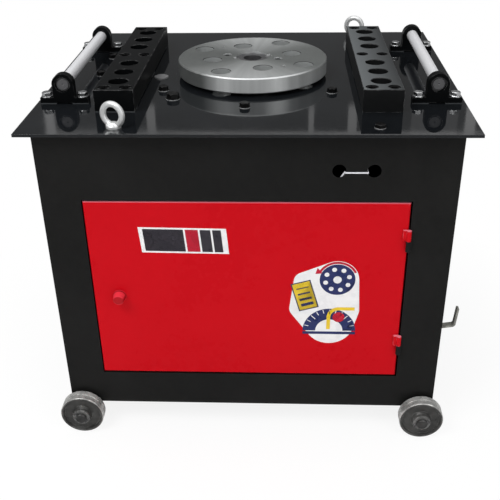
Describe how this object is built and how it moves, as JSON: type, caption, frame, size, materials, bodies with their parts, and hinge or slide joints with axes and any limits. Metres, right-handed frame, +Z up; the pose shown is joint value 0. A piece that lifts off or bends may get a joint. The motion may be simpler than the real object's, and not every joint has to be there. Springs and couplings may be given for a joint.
{
  "type": "rebar bending machine",
  "caption": "Floor-standing powered bar bender: wheeled sheet-steel cabinet with a table, a turning pin disc, hole bars, side rollers and a hinged front door.",
  "frame": {"origin": "on the floor under the middle of the table, on the working disc's axis", "axes": "+X towards the right side, +Y towards the back, +Z up along the disc's axis"},
  "size_m": [0.9086, 0.816, 0.8098],
  "materials": {
    "cabinet_paint": "satin black powder coat",
    "table_paint": "gloss black paint",
    "bar_steel": "blackened machined steel with a grey sheen",
    "door_paint": "satin red powder coat",
    "disc_steel": "turned bare steel",
    "dark_steel": "machined steel darkened by oil",
    "roller_steel": "ground bright steel",
    "zinc": "bright zinc plate",
    "black_oxide": "black oxide on steel",
    "gear_steel": "machined and oiled steel",
    "wheel_iron": "cast and turned, oiled",
    "casting_grey": "grey primer on cast iron",
    "motor_grey": "painted aluminium casting",
    "belt_rubber": "fabric-faced rubber",
    "plug_grey": "light grey plastic",
    "strap_white": "white nylon"
  },
  "bodies": {
    "base": {"table_plate": "table_paint", "left_hole_bar": "bar_steel", "right_hole_bar": "bar_steel", "hole_bar_screws": "black_oxide", "backing_strips": "black_oxide", "roller_block_front_left": "bar_steel", "roller_block_front_right": "bar_steel", "roller_block_rear_left": "bar_steel", "roller_block_rear_right": "bar_steel", "roller_block_bolts": "zinc", "gearbox_bolts": "black_oxide", "hanger_bolts": "black_oxide", "oil_filler_plug": "plug_grey", "eye_bolts": "zinc", "corner_screws": "black_oxide", "shaft_bearings": "gear_steel", "gearbox_cover": "casting_grey", "gearbox_case": "casting_grey", "gearbox_case_bolts": "zinc", "v_belts": "belt_rubber", "motor_housing": "motor_grey", "motor_bolts": "zinc", "motor_hanger": "cabinet_paint", "fan_cover": "motor_grey", "cabinet_frame": "cabinet_paint", "base_plate": "cabinet_paint", "front_panel": "cabinet_paint", "left_side_panel": "cabinet_paint", "right_side_panel": "cabinet_paint", "rear_panel": "cabinet_paint", "frame_hinges": "cabinet_paint", "cable_strap": "strap_white", "cable_hook": "dark_steel", "control_box": "motor_grey", "control_box_lid": "motor_grey", "axles": "dark_steel", "axle_lugs": "cabinet_paint", "wheel_washers": "dark_steel", "split_pins": "dark_steel"},
    "disc": {"working_disc": "disc_steel", "disc_keys": "gear_steel", "disc_screws": "black_oxide", "spindle": "dark_steel", "output_gear": "gear_steel"},
    "intermediate": {"intermediate_shaft": "gear_steel", "intermediate_gear": "gear_steel"},
    "input": {"input_shaft": "gear_steel", "input_pulley": "wheel_iron"},
    "rotor": {"motor_shaft": "gear_steel", "motor_pulley": "wheel_iron", "motor_fan": "plug_grey"},
    "roller_left": {"left_roller": "roller_steel"},
    "roller_right": {"right_roller": "roller_steel"},
    "door": {"door": "door_paint"},
    "latch": {"door_knob": "door_paint", "latch_cam": "zinc"},
    "wheel_front_left": {"wheel_front_left": "wheel_iron"},
    "wheel_front_right": {"wheel_front_right": "wheel_iron"},
    "wheel_rear_left": {"wheel_rear_left": "wheel_iron"},
    "wheel_rear_right": {"wheel_rear_right": "wheel_iron"}
  },
  "joints": [
    {"name": "disc_spin", "type": "hinge", "parent": "base", "child": "disc", "pos_m": [0, 0, 0.771], "axis": [0, 0, 1], "continuous": true},
    {"name": "intermediate_spin", "type": "hinge", "parent": "base", "child": "intermediate", "pos_m": [0, 0.156, 0.66], "axis": [0, 0, 1], "continuous": true},
    {"name": "input_spin", "type": "hinge", "parent": "base", "child": "input", "pos_m": [-0.1365, 0.156, 0.62], "axis": [0, 0, 1], "continuous": true},
    {"name": "motor_spin", "type": "hinge", "parent": "base", "child": "rotor", "pos_m": [-0.23, -0.13, 0.4], "axis": [0, 0, 1], "continuous": true},
    {"name": "left_roller_spin", "type": "hinge", "parent": "base", "child": "roller_left", "pos_m": [-0.39, 0, 0.787], "axis": [0, 1, 0], "continuous": true},
    {"name": "right_roller_spin", "type": "hinge", "parent": "base", "child": "roller_right", "pos_m": [0.39, 0, 0.787], "axis": [0, 1, 0], "continuous": true},
    {"name": "door_swing", "type": "hinge", "parent": "base", "child": "door", "pos_m": [0.331, -0.3635, 0.37], "axis": [0, 0, 1], "range_deg": [0, 120]},
    {"name": "latch_turn", "type": "hinge", "parent": "door", "child": "latch", "pos_m": [-0.2815, -0.37, 0.3625], "axis": [0, 1, 0], "range_deg": [0, 90]},
    {"name": "wheel_front_left_roll", "type": "hinge", "parent": "base", "child": "wheel_front_left", "pos_m": [-0.395, -0.379, 0.05], "axis": [0, 1, 0], "continuous": true},
    {"name": "wheel_front_right_roll", "type": "hinge", "parent": "base", "child": "wheel_front_right", "pos_m": [0.395, -0.379, 0.05], "axis": [0, 1, 0], "continuous": true},
    {"name": "wheel_rear_left_roll", "type": "hinge", "parent": "base", "child": "wheel_rear_left", "pos_m": [-0.395, 0.379, 0.05], "axis": [0, 1, 0], "continuous": true},
    {"name": "wheel_rear_right_roll", "type": "hinge", "parent": "base", "child": "wheel_rear_right", "pos_m": [0.395, 0.379, 0.05], "axis": [0, 1, 0], "continuous": true}
  ],
  "couplings": [
    {"joint": "intermediate_spin", "follows": "disc_spin", "ratio": -5.5},
    {"joint": "input_spin", "follows": "disc_spin", "ratio": 30.25},
    {"joint": "motor_spin", "follows": "disc_spin", "ratio": 90.75}
  ]
}
